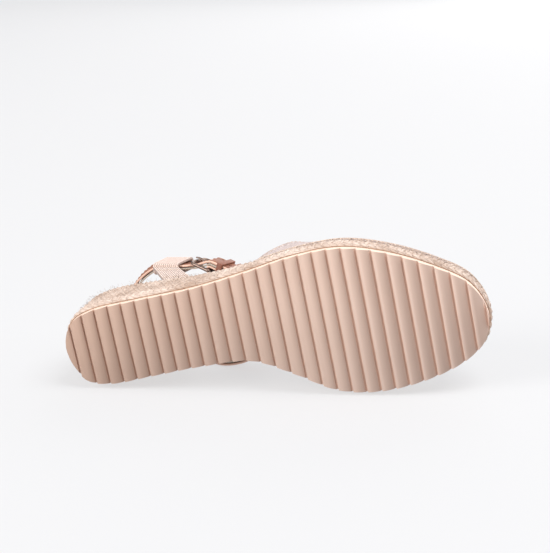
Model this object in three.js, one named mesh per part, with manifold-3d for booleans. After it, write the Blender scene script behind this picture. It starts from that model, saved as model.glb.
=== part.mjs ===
// Closed-toe espadrille wedge sandal for a right foot, in millimetres, standing on its tread.
// +X runs from heel to toe, +Y to the medial side, +Z up; the buckle is on the lateral (-Y) side.
// The origin is on the flat of a tread rib, on the long axis, half way along the outsole.
import * as THREE from "three";
import { mergeVertices } from "three/addons/utils/BufferGeometryUtils.js";
import Module from "manifold-3d";

const wasm = await Module();
wasm.setup();

// ---- Driving dimensions ----
const gap = 0.3; // between pieces that touch
const soleLength = 250;
const heelEnd = -soleLength / 2;
const toeEnd = soleLength / 2;
const ballWidth = 87.8;
const outsoleThickness = 4.5;
const ribPitch = 8.36;
const ribAngle = THREE.MathUtils.degToRad(5.8); // the ribs' medial ends lie nearer the toe
const ribPhase = -2.69; // a groove this far from the origin, along the foot
const ribFlat = 2.8;
const ribFall = 1.1; // a rib's surface falls away by this, ever faster, up to the next groove
const grooveDepth = 1.9;
const grooveWidth = 0.9;
const grooveDraft = 0.25; // how far each wall of a groove leans
const springStart = 0.1 * soleLength; // from here forward the sole curves up
const springRadius = 520;

const heelHeight = 46; // top of the jute wedge above the ground
const foreHeight = 20;
const slopeStart = heelEnd + 28;
const slopeEnd = 0.048 * soleLength;

const foxingHeight = 11.5;
const rowCount = 4;
const rowTrim = 0.6; // the top row would stand this far above the wedge, and is cut off level
const rowsBase = outsoleThickness + gap + foxingHeight + gap;
const rowHeight = (heelHeight + rowTrim - rowsBase) / rowCount - gap;
const juteDepth = 6.8;
const coreRoom = 0.8; // between the core and the braid, across the curved ends
const foxingProud = 1.7; // foxing stands out past the outsole's edge by this
const rowProud = 0.9;
const rowDraft = 0.5; // each row lies this much further in than the one below

const boardThickness = 1.7;
const foamThickness = 2.8;
const sockThickness = 0.9;
const insoleInset = 6;

const vampInset = 0.8;
const vampThickness = 1.3;
const puffThickness = 0.6;
const puffRoom = 0.6; // on either side of the puff, across the curved toe
const liningThickness = 0.8;
const wallHeight = 7; // upright edge of the vamp, beside the footbed
const sideFullness = 0.9; // below 1, the vamp's section is fuller than an ellipse
const archFullness = 0.75;
const sideLean = 0.32; // ahead of the throat, the vamp's sides lean in by this share of their rise
const leanStart = 0.04 * soleLength;
const leanEnd = 0.16 * soleLength;
const toeHeight = 22;
const toeRun = 28; // length over which the toe rounds down
const toeClosing = 0.002; // the vamp's last station lies this far from its end
const throatHeight = 47;
const throatCentre = 0.176 * soleLength;
const wingStart = -0.032 * soleLength;
const throatPower = 1.1;
const puffStart = toeEnd - 41;
const bindingWidth = 2;
const bindingProud = 0.2;
const bindingRound = 0.6;

const strapWidth = 13;
const leatherThickness = 1.4;
const strapLiningThickness = 1;
const bondGap = 0.6; // between the strap's leather and its lining, where it twists
const webbingThickness = 1.2;
const tabWidth = 19;
const tabInset = 2.4; // the tabs' feet stand this far in from the outsole's edge
const tabAt = heelEnd + 66.5;
const swingRoom = 1.5; // above and below the strap in the tabs' loops
const loopRoomShare = 0.09; // of the strap's width: a wider strap needs more room to turn in a loop
const loopRoom = loopRoomShare * strapWidth;

const barRadius = 1;
const frameLength = 13;
const frameWire = 1.1; // radius of the frame's front rail
const frameRoom = 0.6;
const prongThickness = 1.6;
const slotWidth = 2.6;
const chapeLength = 10;
const tailLength = 23;
const keeperWidth = 4;
const keeperWall = 1;
const keeperRoom = 0.35;
const fixedKeeperAt = 5;
const slidingKeeperAt = 12.5;

// ---- Sole plan ----
// Outline from the heel's end round the lateral side to the toe and back: shares of the sole's
// length from the heel, and shares of the ball width from the long axis.
const outlineShape = [
  [0.001, 0.023], [0.02, -0.12], [0.068, -0.196], [0.18, -0.255], [0.32, -0.319],
  [0.448, -0.41], [0.556, -0.497], [0.668, -0.538], [0.772, -0.485], [0.88, -0.364],
  [0.958, -0.228], [0.994, -0.063], [0.9995, 0.046], [0.986, 0.177], [0.94, 0.296],
  [0.844, 0.408], [0.732, 0.462], [0.636, 0.433], [0.54, 0.308], [0.444, 0.205],
  [0.32, 0.228], [0.2, 0.28], [0.1, 0.321], [0.044, 0.294], [0.012, 0.171],
];
const outlineCurve = new THREE.CatmullRomCurve3(
  outlineShape.map(([u, v]) => new THREE.Vector3((u - 0.5) * soleLength, v * ballWidth, 0)),
  true,
  "centripetal",
);

// The outline moved inwards by inset (outwards when negative), as points in plan.
function outlinePoints(inset, count) {
  return Array.from({ length: count }, (_, i) => {
    const p = outlineCurve.getPointAt(i / count);
    const t = outlineCurve.getTangentAt(i / count);
    return new THREE.Vector3(p.x - t.y * inset, p.y + t.x * inset, 0);
  });
}

// Along-foot and across-foot coordinates whose lines of equal "along" are parallel to the ribs.
const along = (p) => p.x * Math.cos(ribAngle) - p.y * Math.sin(ribAngle);
const across = (p) => p.x * Math.sin(ribAngle) + p.y * Math.cos(ribAngle);
function place(s, t, z) {
  return new THREE.Vector3(
    s * Math.cos(ribAngle) + t * Math.sin(ribAngle),
    t * Math.cos(ribAngle) - s * Math.sin(ribAngle),
    z,
  );
}

// Plan at an inset: its first and last station, and its two edges at any station between.
const planCache = new Map();
function plan(inset) {
  if (planCache.has(inset)) return planCache.get(inset);
  const points = outlinePoints(inset, 480).map((p) => [along(p), across(p)]);
  const stations = points.map((p) => p[0]);
  const made = { start: Math.min(...stations), end: Math.max(...stations) };
  made.edges = (s) => {
    const hits = [];
    points.forEach(([s0, t0], i) => {
      const [s1, t1] = points[(i + 1) % points.length];
      if ((s0 - s) * (s1 - s) <= 0 && s0 !== s1) hits.push(t0 + ((s - s0) / (s1 - s0)) * (t1 - t0));
    });
    return [Math.min(...hits), Math.max(...hits)];
  };
  planCache.set(inset, made);
  return made;
}

// ---- Heights along the foot ----
const spring = (s) =>
  s < springStart
    ? 0
    : springRadius - Math.sqrt(springRadius ** 2 - (s - springStart) ** 2);
const { lerp, smoothstep, clamp, degToRad, euclideanModulo } = THREE.MathUtils;
const wedgeTop = (s) => spring(s) + lerp(heelHeight, foreHeight, smoothstep(s, slopeStart, slopeEnd));
const boardBase = gap;
const foamBase = boardBase + boardThickness + gap;
const sockBase = foamBase + foamThickness + gap;

// ---- Mesh helpers ----
function geometryOf(points, faces) {
  const flat = new Float32Array(points.flatMap((p) => [p.x, p.y, p.z]));
  return new THREE.BufferGeometry()
    .setAttribute("position", new THREE.BufferAttribute(flat, 3))
    .setIndex(faces.flat());
}

// Skin over rows of points, each row one closed section; the ends are capped unless it closes on itself.
function loft(rows, closes = false) {
  const m = rows[0].length;
  const at = (i, j) => (i % rows.length) * m + (j % m);
  const faces = [];
  for (let i = 0; i < rows.length - (closes ? 0 : 1); i++)
    for (let j = 0; j < m; j++) {
      faces.push([at(i, j), at(i, j + 1), at(i + 1, j + 1)]);
      faces.push([at(i, j), at(i + 1, j + 1), at(i + 1, j)]);
    }
  for (let j = 1; j < m - 1 && !closes; j++) {
    faces.push([at(0, 0), at(0, j + 1), at(0, j)]);
    const last = rows.length - 1;
    faces.push([at(last, 0), at(last, j), at(last, j + 1)]);
  }
  return geometryOf(rows.flat(), faces);
}

// A shell between two grids of points of the same size, closed round its four edges.
function shell(outer, inner) {
  const rows = outer.length;
  const cols = outer[0].length;
  const o = (i, j) => i * cols + j;
  const n = (i, j) => rows * cols + i * cols + j;
  const faces = [];
  const quad = (a, b, c, d) => faces.push([a, b, c], [a, c, d]);
  for (let i = 0; i < rows - 1; i++)
    for (let j = 0; j < cols - 1; j++) {
      quad(o(i, j), o(i + 1, j), o(i + 1, j + 1), o(i, j + 1));
      quad(n(i, j), n(i, j + 1), n(i + 1, j + 1), n(i + 1, j));
    }
  for (let j = 0; j < cols - 1; j++) {
    quad(o(0, j), o(0, j + 1), n(0, j + 1), n(0, j));
    quad(o(rows - 1, j), n(rows - 1, j), n(rows - 1, j + 1), o(rows - 1, j + 1));
  }
  for (let i = 0; i < rows - 1; i++) {
    quad(o(i, 0), n(i, 0), n(i + 1, 0), o(i + 1, 0));
    quad(o(i, cols - 1), o(i + 1, cols - 1), n(i + 1, cols - 1), n(i, cols - 1));
  }
  return geometryOf([...outer.flat(), ...inner.flat()], faces);
}

function solid(geometry) {
  const g = geometry.clone();
  g.deleteAttribute("normal");
  g.deleteAttribute("uv");
  const merged = mergeVertices(g, 1e-4);
  const vertProperties = merged.attributes.position.array;
  const triVerts = new Uint32Array(merged.index.array);
  return new wasm.Manifold(new wasm.Mesh({ numProp: 3, vertProperties, triVerts }));
}
function geometryFrom(body) {
  const mesh = body.getMesh();
  return new THREE.BufferGeometry()
    .setAttribute("position", new THREE.BufferAttribute(new Float32Array(mesh.vertProperties), 3))
    .setIndex(new THREE.BufferAttribute(new Uint32Array(mesh.triVerts), 1));
}
function box(x0, x1, y0, y1, z0, z1) {
  const block = new THREE.BoxGeometry(x1 - x0, y1 - y0, z1 - z0);
  return block.translate((x0 + x1) / 2, (y0 + y1) / 2, (z0 + z1) / 2);
}

const sandal = new THREE.Group();
function add(name, geometry, color, roughness, metalness = 0, parent = sandal) {
  const mesh = new THREE.Mesh(geometry, new THREE.MeshStandardMaterial({ color, roughness, metalness }));
  mesh.name = name;
  parent.add(mesh);
  return mesh;
}
const rubber = "#cfae99";
const jute = "#dcc0b0";
const canvas = "#c9b6b0";
const webbing = "#e2c8be";
const leather = "#8a5a44";
const cream = "#ead8c8";
const steel = "#6b5a55";

// ---- Sole layers ----
const endSteps = [0.05, 0.7, 2, 4, 7];
const stationStep = 5;
function stationsOf(outline) {
  const first = outline.start + endSteps.at(-1);
  const last = outline.end - endSteps.at(-1);
  const count = Math.ceil((last - first) / stationStep);
  const middle = Array.from({ length: count - 1 }, (_, i) => first + ((i + 1) * (last - first)) / count);
  const heel = endSteps.map((e) => outline.start + e);
  return [...heel, ...middle, ...endSteps.map((e) => outline.end - e).reverse()];
}
// One layer of the sole: its underside and top are functions of the station.
function layer(inset, under, top, stations = stationsOf(plan(inset))) {
  return loft(
    stations.map((s) => {
      const [lateral, medial] = plan(inset).edges(s);
      const low = [place(s, lateral, under(s)), place(s, medial, under(s))];
      return [...low, place(s, medial, top(s)), place(s, lateral, top(s))];
    }),
  );
}

// Tread: each rib is flat just in front of a groove, then falls gently to the next one.
const ribEnd = ribPitch - grooveWidth / 2 - grooveDraft;
const ribKnots = [
  [0, grooveDepth],
  [grooveWidth / 2, grooveDepth],
  [grooveWidth / 2 + grooveDraft, 0],
  ...[0, 0.4, 0.7, 1].map((k) => [ribFlat + k * (ribEnd - ribFlat), k ** 1.5 * ribFall]),
  [ribPitch - grooveWidth / 2, grooveDepth],
];
function treadHeight(s) {
  const x = euclideanModulo(s - ribPhase, ribPitch);
  const i = ribKnots.findLastIndex(([k]) => k <= x + 1e-6);
  const [x0, z0] = ribKnots[i];
  const [x1, z1] = ribKnots[i + 1] ?? [ribPitch, grooveDepth];
  return lerp(z0, z1, (x - x0) / (x1 - x0));
}
function outsole() {
  const { start, end } = plan(0);
  const firstRib = Math.ceil((start - ribPhase) / ribPitch) - 1;
  const ribs = Math.ceil((end - start) / ribPitch) + 1;
  const grooves = Array.from({ length: ribs }, (_, i) => (firstRib + i) * ribPitch + ribPhase);
  const knots = grooves.flatMap((groove) => ribKnots.slice(1).map(([k]) => groove + k));
  const ends = endSteps.flatMap((e) => [start + e, end - e]);
  const inside = knots.filter((s) => s > start + endSteps[0] && s < end - endSteps[0]);
  const apart = (s, i, all) => !i || s - all[i - 1] > 0.04;
  const stations = [...ends, ...inside].sort((a, b) => a - b).filter(apart);
  return layer(0, (s) => spring(s) + treadHeight(s), (s) => spring(s) + outsoleThickness, stations);
}
const juteInset = juteDepth - foxingProud;
const coreInset = juteInset + coreRoom;
add("outsole", outsole(), rubber, 0.75);
add("wedge_core", layer(coreInset, (s) => spring(s) + outsoleThickness + gap, wedgeTop), "#c9b49c", 0.9);

// ---- Jute wall: the foxing braid and the rows above it ----
const braidRound = 0.8;
function braidRing(proud, base, height) {
  const outline = outlinePoints(0, 72);
  const section = [
    [-juteInset, 0], [-juteInset, height], [proud - braidRound, height],
    [proud, height * 0.75], [proud, height * 0.25], [proud - braidRound, 0],
  ];
  const outward = outlinePoints(-1, 72).map((p, i) => p.sub(outline[i]));
  return loft(
    outline.map((p, i) =>
      section.map(([out, up]) => {
        const q = p.clone().addScaledVector(outward[i], out);
        return q.setZ(spring(along(q)) + base + up);
      }),
    ),
    true,
  );
}
const cutterProud = 8; // the cutters reach this far past the foxing
const aboveWedge = solid(layer(-foxingProud - cutterProud, wedgeTop, (s) => wedgeTop(s) + heelHeight));
const foxingBase = outsoleThickness + gap;
add("jute_foxing", braidRing(foxingProud, foxingBase, foxingHeight), jute, 0.95);
for (let row = 0; row < rowCount; row++) {
  const base = rowsBase + row * (rowHeight + gap);
  const ring = solid(braidRing(rowProud - row * rowDraft, base, rowHeight));
  add("jute_row_" + (row + 2), geometryFrom(ring.subtract(aboveWedge)), jute, 0.95);
}

// ---- Footbed ----
const stacked = (base, thickness, inset) =>
  layer(inset, (s) => wedgeTop(s) + base, (s) => wedgeTop(s) + base + thickness);
add("insole_board", stacked(boardBase, boardThickness, insoleInset), "#9a8674", 0.9);
add("footbed_foam", stacked(foamBase, foamThickness, insoleInset + gap), "#e8ddcf", 0.9);
add("sock_lining", stacked(sockBase, sockThickness, insoleInset - gap), leather, 0.55);

// ---- Vamp: closed toe, open behind wingStart ----
// Rise of its arch above the upright wall that it starts from.
function archHeight(toToe, depth) {
  const nose = Math.sqrt(1 - Math.max(1 - toToe / toeRun, 0) ** 2);
  const climb = (throatHeight - toeHeight) / (plan(0).end - throatCentre);
  return (toeHeight - wallHeight - depth) * nose + climb * toToe;
}
const vampColumns = 26;
const wallAngle = Math.PI / vampColumns; // the wall is the first and the last column
// A point of the vamp: angle 0 at the lateral edge to PI at the medial edge, depth inwards from its face.
function vampPoint(angle, s, depth) {
  const outline = plan(vampInset + depth);
  const station = Math.min(s, outline.end - toeClosing);
  const [lateral, medial] = outline.edges(station);
  const half = (medial - lateral) / 2;
  const turn = clamp(((angle - wallAngle) * Math.PI) / (Math.PI - 2 * wallAngle), 0, Math.PI);
  const out = Math.cos(turn);
  const wall = wallHeight * Math.min(1, angle / wallAngle, (Math.PI - angle) / wallAngle);
  const arch = archHeight(outline.end - station, depth) * Math.abs(Math.sin(turn)) ** archFullness;
  const lean = sideLean * smoothstep(station, leanStart, leanEnd) * arch * Math.abs(out);
  const reach = half * Math.abs(out) ** sideFullness - lean;
  const t = (lateral + medial) / 2 - Math.sign(out) * reach;
  return place(station, t, wedgeTop(station) + gap + wall + arch);
}
function throatAt(angle) {
  return wingStart + (throatCentre - wingStart) * Math.abs(Math.sin(angle)) ** throatPower;
}
const vampAngles = Array.from({ length: vampColumns + 1 }, (_, i) => (i * Math.PI) / vampColumns);
function vampSkin(depth, startAt, steps) {
  const { end } = plan(vampInset + depth);
  return Array.from({ length: steps + 1 }, (_, i) =>
    vampAngles.map((angle) => {
      const from = startAt(angle);
      const u = 1 - (1 - i / steps) ** 1.5;
      return vampPoint(angle, from + (end - toeClosing - from) * u, depth);
    }),
  );
}
function vampShell(depth, thickness, startAt, steps) {
  return shell(vampSkin(depth, startAt, steps), vampSkin(depth + thickness, startAt, steps));
}
const puffDepth = vampThickness + puffRoom;
const liningDepth = puffDepth + puffThickness + puffRoom;
const rimDepth = liningDepth + liningThickness;
add("vamp_outer", vampShell(0, vampThickness, throatAt, 14), canvas, 0.95);
add("toe_puff", vampShell(puffDepth, puffThickness, () => puffStart, 7), "#d8cdbd", 0.8);
add("vamp_lining", vampShell(liningDepth, liningThickness, throatAt, 12), cream, 0.9);

// Binding along the throat, just behind the rim of the vamp and its lining.
function binding() {
  const section = [
    [gap, rimDepth + bindingProud], [gap + bindingWidth, rimDepth - bindingRound],
    [gap + bindingWidth, bindingRound], [gap, -bindingProud],
  ];
  const at = (angle) => section.map(([back, depth]) => vampPoint(angle, throatAt(angle) - back, depth));
  return loft(vampAngles.map(at));
}
add("vamp_binding", binding(), canvas, 0.85);

// ---- Ankle strap: its route, as the middle of the leather ----
// The buckle's own frame: x along the strap towards the front, y inwards to the foot, z across the strap.
const buckle = new THREE.Group();
const strapPitch = degToRad(24); // the strap falls towards the front
const strapYaw = degToRad(20); // and turns inwards round the ankle
// A point of the ankle's pieces, from the heel's end and the wedge's top there.
const fromHeel = (x, y, z) => new THREE.Vector3(heelEnd + x, y, heelHeight + z);
buckle.position.copy(fromHeel(80.5, -19.2, 25.5));
buckle.rotation.set(0, strapPitch, strapYaw, "ZYX");
buckle.updateMatrix();
const toWorld = (x, y, z = 0) => new THREE.Vector3(x, y, z).applyMatrix4(buckle.matrix);

const chapeTurn = barRadius + gap + leatherThickness / 2; // the leather's radius round the bar
const layerStep = leatherThickness + strapLiningThickness + 2 * gap;
const turnRoom = 0.3; // extra, where the strap turns
const tailLevel = -chapeTurn - layerStep - turnRoom;
const underRail = frameWire + gap + leatherThickness / 2 + turnRoom;
const loopCentre = {
  lateral: fromHeel(52.5, -20.2, 35.5),
  medial: fromHeel(54, 24.5, 29),
};
const loopHeading = {
  lateral: new THREE.Vector3(-0.93, 0.06, 0.37).normalize(),
  medial: new THREE.Vector3(0.84, 0.32, -0.44).normalize(),
};
// The strap runs straight through a tab's loop.
function throughLoop(side) {
  const centre = loopCentre[side];
  const end = (k) => centre.clone().addScaledVector(loopHeading[side], k * (tabWidth / 2 + 1.5));
  return [end(-1), centre, end(1)];
}
const chapeEntry = toWorld(chapeLength + 1, -chapeTurn);
const route = [
  toWorld(tailLength, tailLevel),
  toWorld(tailLength / 2, tailLevel),
  toWorld(0.5, tailLevel),
  toWorld(-1.5, tailLevel + turnRoom),
  toWorld(-frameLength + 2, underRail - 1),
  toWorld(-frameLength - 0.5, underRail),
  ...throughLoop("lateral"),
  fromHeel(32.5, -14, 42.5), fromHeel(24.5, -5.5, 45), fromHeel(23, 4, 45.5), fromHeel(29.5, 12.5, 42.5),
  ...throughLoop("medial"),
  fromHeel(72, 31, 16), fromHeel(84, 34.5, 5), fromHeel(100, 31.5, -0.5), fromHeel(114, 23, -1.5),
  fromHeel(123, 12, 0.8), fromHeel(122.5, 0.5, 4.3), fromHeel(115, -7.5, 8.8),
  toWorld(tailLength + 3, -chapeTurn),
  chapeEntry,
  toWorld(3, -chapeTurn),
  ...[90, 60, 30, 0, -30, -60, -90].map((deg) => {
    const a = degToRad(deg);
    return toWorld(-chapeTurn * Math.cos(a), -chapeTurn * Math.sin(a));
  }),
  toWorld(3, chapeTurn),
  toWorld(chapeLength, chapeTurn),
];
const acrossBuckle = new THREE.Vector3().setFromMatrixColumn(buckle.matrix, 2);
const routeCurve = new THREE.CatmullRomCurve3(route, false, "centripetal");

// Place and directions of the strap at t of its route. It stands upright, but square to the bar
// at the buckle.
function strapFrame(t) {
  const p = routeCurve.getPoint(t);
  const heading = routeCurve.getTangent(t);
  const nearBuckle = 1 - smoothstep(p.distanceTo(buckle.position), 22, 34);
  const up = new THREE.Vector3(0, 0, 1).lerp(acrossBuckle, nearBuckle);
  up.addScaledVector(heading, -up.dot(heading)).normalize();
  return { t, p, heading, up, inwards: new THREE.Vector3().crossVectors(heading, up) };
}
// Frames of the whole route, each a few millimetres on, and closer where it turns.
const routeSamples = 1500;
const frames = [strapFrame(0)];
for (let i = 1; i <= routeSamples; i++) {
  const next = strapFrame(i / routeSamples);
  const last = frames.at(-1);
  const moved = next.p.distanceTo(last.p);
  const turned = next.heading.angleTo(last.heading) > 0.22 && moved > 0.4;
  if (i === routeSamples || moved > 3 || turned) frames.push(next);
}

// A flat band on the route, from depth0 to depth1 inwards of the leather's middle.
function band(stretch, width, depth0, depth1) {
  return loft(
    stretch.map(({ p, up, inwards }) =>
      [[depth0, -1], [depth0, 1], [depth1, 1], [depth1, -1]].map(([depth, side]) =>
        p.clone().addScaledVector(inwards, depth).addScaledVector(up, (side * width) / 2),
      ),
    ),
  );
}
const routeAt = (point) => route.indexOf(point) / (route.length - 1);
const leatherHalf = leatherThickness / 2;
const liningDepth0 = leatherHalf + bondGap;
const strapBody = solid(band(frames, strapWidth, -leatherHalf, leatherHalf));
const linedFrames = frames.filter(({ t }) => t < routeAt(chapeEntry));
const liningBody = solid(band(linedFrames, strapWidth, liningDepth0, liningDepth0 + strapLiningThickness));
const inBuckle = (geometry) => solid(geometry.applyMatrix4(buckle.matrix));
const tailSlot = inBuckle(box(-frameLength + 1.7, -2.2, -7, 5, -slotWidth / 2, slotWidth / 2));
const chapeReach = chapeTurn + leatherHalf + gap;
const chapeHole = box(-chapeReach, chapeReach, -chapeReach, chapeReach, -slotWidth / 2, slotWidth / 2);
const chapeSlot = inBuckle(chapeHole);
add("strap_leather", geometryFrom(strapBody.subtract(tailSlot).subtract(chapeSlot)), leather, 0.5);
add("strap_lining", geometryFrom(liningBody.subtract(tailSlot)), cream, 0.9);

// ---- Webbing tabs: each stands on the wedge's edge and is looped over the strap ----
const underWedgeTop = solid(layer(-foxingProud - cutterProud, () => -10, (s) => wedgeTop(s) + gap));
const footDepth = 8; // length of web below the wedge's top, cut away along it
const loopCorner = 1.5;
const webTrim = 0.1; // the web below the loop is finer than the loop's neck by this, all round
function tab(centre, side) {
  const strap = strapFrame(routeAt(centre));
  const outwards = strap.inwards.clone().negate();
  const footAt = (s) => place(s, plan(tabInset).edges(s)[side], wedgeTop(s));
  const foot = footAt(tabAt);
  const hemline = footAt(tabAt + 1).sub(footAt(tabAt - 1)).normalize();
  if (hemline.dot(strap.heading) < 0) hemline.negate();
  const halfHeight = strapWidth / 2 + swingRoom;
  const halfDepth = leatherHalf + gap / 2 + strapLiningThickness / 2 + loopRoom;
  const middle = -(gap + strapLiningThickness) / 2;
  const top = halfHeight + webbingThickness;
  const wide = halfDepth + webbingThickness;
  const neck = -top - 1;
  const shape = new THREE.Shape([
    [webbingThickness, neck - 1], [webbingThickness, neck], [middle + wide, loopCorner - top],
    [middle + wide, top - loopCorner], [middle + wide - loopCorner, top], [middle - wide + loopCorner, top],
    [middle - wide, top - loopCorner], [middle - wide, loopCorner - top], [-webbingThickness, neck],
    [-webbingThickness, neck - 1],
  ].map(([a, b]) => new THREE.Vector2(a, b)));
  shape.holes.push(new THREE.Path([
    [middle - halfDepth, -halfHeight], [middle - halfDepth, halfHeight],
    [middle + halfDepth, halfHeight], [middle + halfDepth, -halfHeight],
  ].map(([a, b]) => new THREE.Vector2(a, b))));
  const prism = new THREE.ExtrudeGeometry(shape, { depth: tabWidth, bevelEnabled: false });
  prism.translate(0, 0, -tabWidth / 2);
  prism.applyMatrix4(new THREE.Matrix4().makeBasis(outwards, strap.up, strap.heading).setPosition(centre));
  const hem = centre.clone().addScaledVector(strap.up, neck);
  const rise = hem.clone().sub(foot).normalize();
  const footFace = new THREE.Vector3().crossVectors(rise, hemline).normalize();
  foot.addScaledVector(rise, -footDepth);
  const halfWeb = webbingThickness - webTrim;
  const halfWide = tabWidth / 2 - webTrim;
  // The web turns from the strap's heading to its hem's in short steps, so its two skins never cross.
  const web = loft(
    [0, 0.2, 0.4, 0.6, 0.8, 1].map((k) => {
      const middlePoint = hem.clone().lerp(foot, k);
      const heading = strap.heading.clone().lerp(hemline, k).normalize();
      const out = outwards.clone().lerp(footFace, k).normalize();
      return [[1, -1], [1, 1], [-1, 1], [-1, -1]].map(([a, w]) =>
        middlePoint.clone().addScaledVector(out, a * halfWeb).addScaledVector(heading, w * halfWide),
      );
    }),
  );
  return geometryFrom(solid(prism).add(solid(web)).subtract(underWedgeTop));
}
add("tab_lateral", tab(loopCentre.lateral, 0), webbing, 0.9);
add("tab_medial", tab(loopCentre.medial, 1), webbing, 0.9);

// ---- Buckle ----
sandal.add(buckle);
const armLine = strapWidth / 2 + frameRoom + frameWire;
function frameTube() {
  const corner = 2;
  const armEnd = 1.6;
  const stops = [
    [armEnd, -armLine, 0], [corner - frameLength, -armLine, 0], [-frameLength, corner - armLine, 90],
    [-frameLength, armLine - corner, 90], [corner - frameLength, armLine, 180], [armEnd, armLine, 180],
  ];
  const upright = new THREE.Vector3(0, 1, 0);
  return loft(
    stops.map(([x, z, turn]) => {
      const sideways = new THREE.Vector3(0, 0, 1).applyAxisAngle(upright, degToRad(turn));
      return Array.from({ length: 8 }, (_, i) => {
        const a = ((i + 0.5) * Math.PI) / 4;
        const r = frameWire / Math.cos(Math.PI / 8);
        return new THREE.Vector3(x, r * Math.sin(a), z).addScaledVector(sideways, r * Math.cos(a));
      });
    }),
  );
}
add("buckle_frame", frameTube(), steel, 0.35, 0.9, buckle);
const barLength = 2 * (armLine - frameWire - gap);
const barGeometry = new THREE.CylinderGeometry(barRadius, barRadius, barLength, 12).rotateX(Math.PI / 2);
add("buckle_bar", barGeometry, steel, 0.35, 0.9, buckle);
function prong() {
  const eye = barRadius + gap;
  const tip = -frameLength - frameWire - 0.6;
  const rest = -frameWire - gap;
  const shank = new THREE.Shape([
    [-1.2, 1], [-frameLength + 2, rest], [tip, rest], [tip, rest - 1],
    [-frameLength + 1, rest - prongThickness], [-1.2, -1.4],
  ].map(([x, y]) => new THREE.Vector2(x, y)));
  const flat = new THREE.ExtrudeGeometry(shank, { depth: prongThickness, bevelEnabled: false });
  const upright = (r, h) => new THREE.CylinderGeometry(r, r, h, 16).rotateX(Math.PI / 2);
  return geometryFrom(
    solid(flat.translate(0, 0, -prongThickness / 2))
      .add(solid(upright(eye + 1, prongThickness)))
      .subtract(solid(upright(eye, prongThickness + 2))),
  );
}
add("buckle_prong", prong(), steel, 0.35, 0.9, buckle);

// ---- Keepers: leather loops round the strap and its tail ----
function keeper(at, inner) {
  const y0 = tailLevel - leatherHalf - keeperRoom;
  const half = strapWidth / 2 + keeperRoom;
  const block = (past, wall) =>
    solid(box(at - past, at + keeperWidth + past, y0 - wall, inner + wall, -half - wall, half + wall));
  return geometryFrom(block(0, keeperWall).subtract(block(1, 0)));
}
add("keeper_fixed", keeper(fixedKeeperAt, chapeTurn + leatherHalf + keeperRoom), leather, 0.5, 0, buckle);
add("keeper_sliding", keeper(slidingKeeperAt, 2 * keeperRoom), leather, 0.5, 0, buckle);

export default sandal;
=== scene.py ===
import math

import bmesh
import bpy
import numpy as np
from mathutils import Matrix, Vector


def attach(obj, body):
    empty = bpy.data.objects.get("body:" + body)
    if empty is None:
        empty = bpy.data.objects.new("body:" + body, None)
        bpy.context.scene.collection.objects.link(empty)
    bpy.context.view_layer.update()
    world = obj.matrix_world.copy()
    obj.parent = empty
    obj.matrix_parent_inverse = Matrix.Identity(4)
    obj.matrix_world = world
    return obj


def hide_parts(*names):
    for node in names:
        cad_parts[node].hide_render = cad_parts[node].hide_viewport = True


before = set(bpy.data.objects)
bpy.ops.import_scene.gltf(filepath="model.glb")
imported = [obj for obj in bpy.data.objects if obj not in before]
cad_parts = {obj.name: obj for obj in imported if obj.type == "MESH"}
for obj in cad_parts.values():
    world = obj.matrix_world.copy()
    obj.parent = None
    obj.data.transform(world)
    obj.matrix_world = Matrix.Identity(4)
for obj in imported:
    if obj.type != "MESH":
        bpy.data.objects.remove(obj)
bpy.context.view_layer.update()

# ---- Camera, pale floor and lights ----
# The shoe lies on its inner side against a pale board, so the camera looks at its tread from
# below. The board and the ground are seen from their front only, and let light through.
camera_right = Vector((0.9870, 0.0933, 0.1305))
camera_up = Vector((0.0520, -0.9555, 0.2899))
camera_back = camera_right.cross(camera_up)
camera_aim = Vector((0.0044, -0.0330, 0.0))
camera_distance = 0.95
camera_data = bpy.data.cameras.new("camera")
camera_data.lens = 107.5
camera_data.sensor_width = 36
camera = bpy.data.objects.new("camera", camera_data)
bpy.context.collection.objects.link(camera)
camera_turn = Matrix((camera_right, camera_up, camera_back)).transposed().to_4x4()
camera.matrix_world = Matrix.Translation(camera_aim + camera_back * camera_distance) @ camera_turn
bpy.context.scene.camera = camera
bpy.context.scene.view_settings.view_transform = "Standard"


class Value:
    """A number carried by a socket of a material, for sums written as ordinary expressions."""

    def __init__(self, finish, socket):
        self.finish, self.socket = finish, socket

    def sum_of(self, operation, first, second):
        return self.finish.node("ShaderNodeMath", {"operation": operation}, {0: first, 1: second})

    def __add__(self, other):
        return self.sum_of("ADD", self, other)

    def __sub__(self, other):
        return self.sum_of("SUBTRACT", self, other)

    def __rsub__(self, other):
        return self.sum_of("SUBTRACT", other, self)

    def __mul__(self, other):
        return self.sum_of("MULTIPLY", self, other)

    def __truediv__(self, other):
        return self.sum_of("DIVIDE", self, other)

    __radd__ = __add__
    __rmul__ = __mul__


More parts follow.
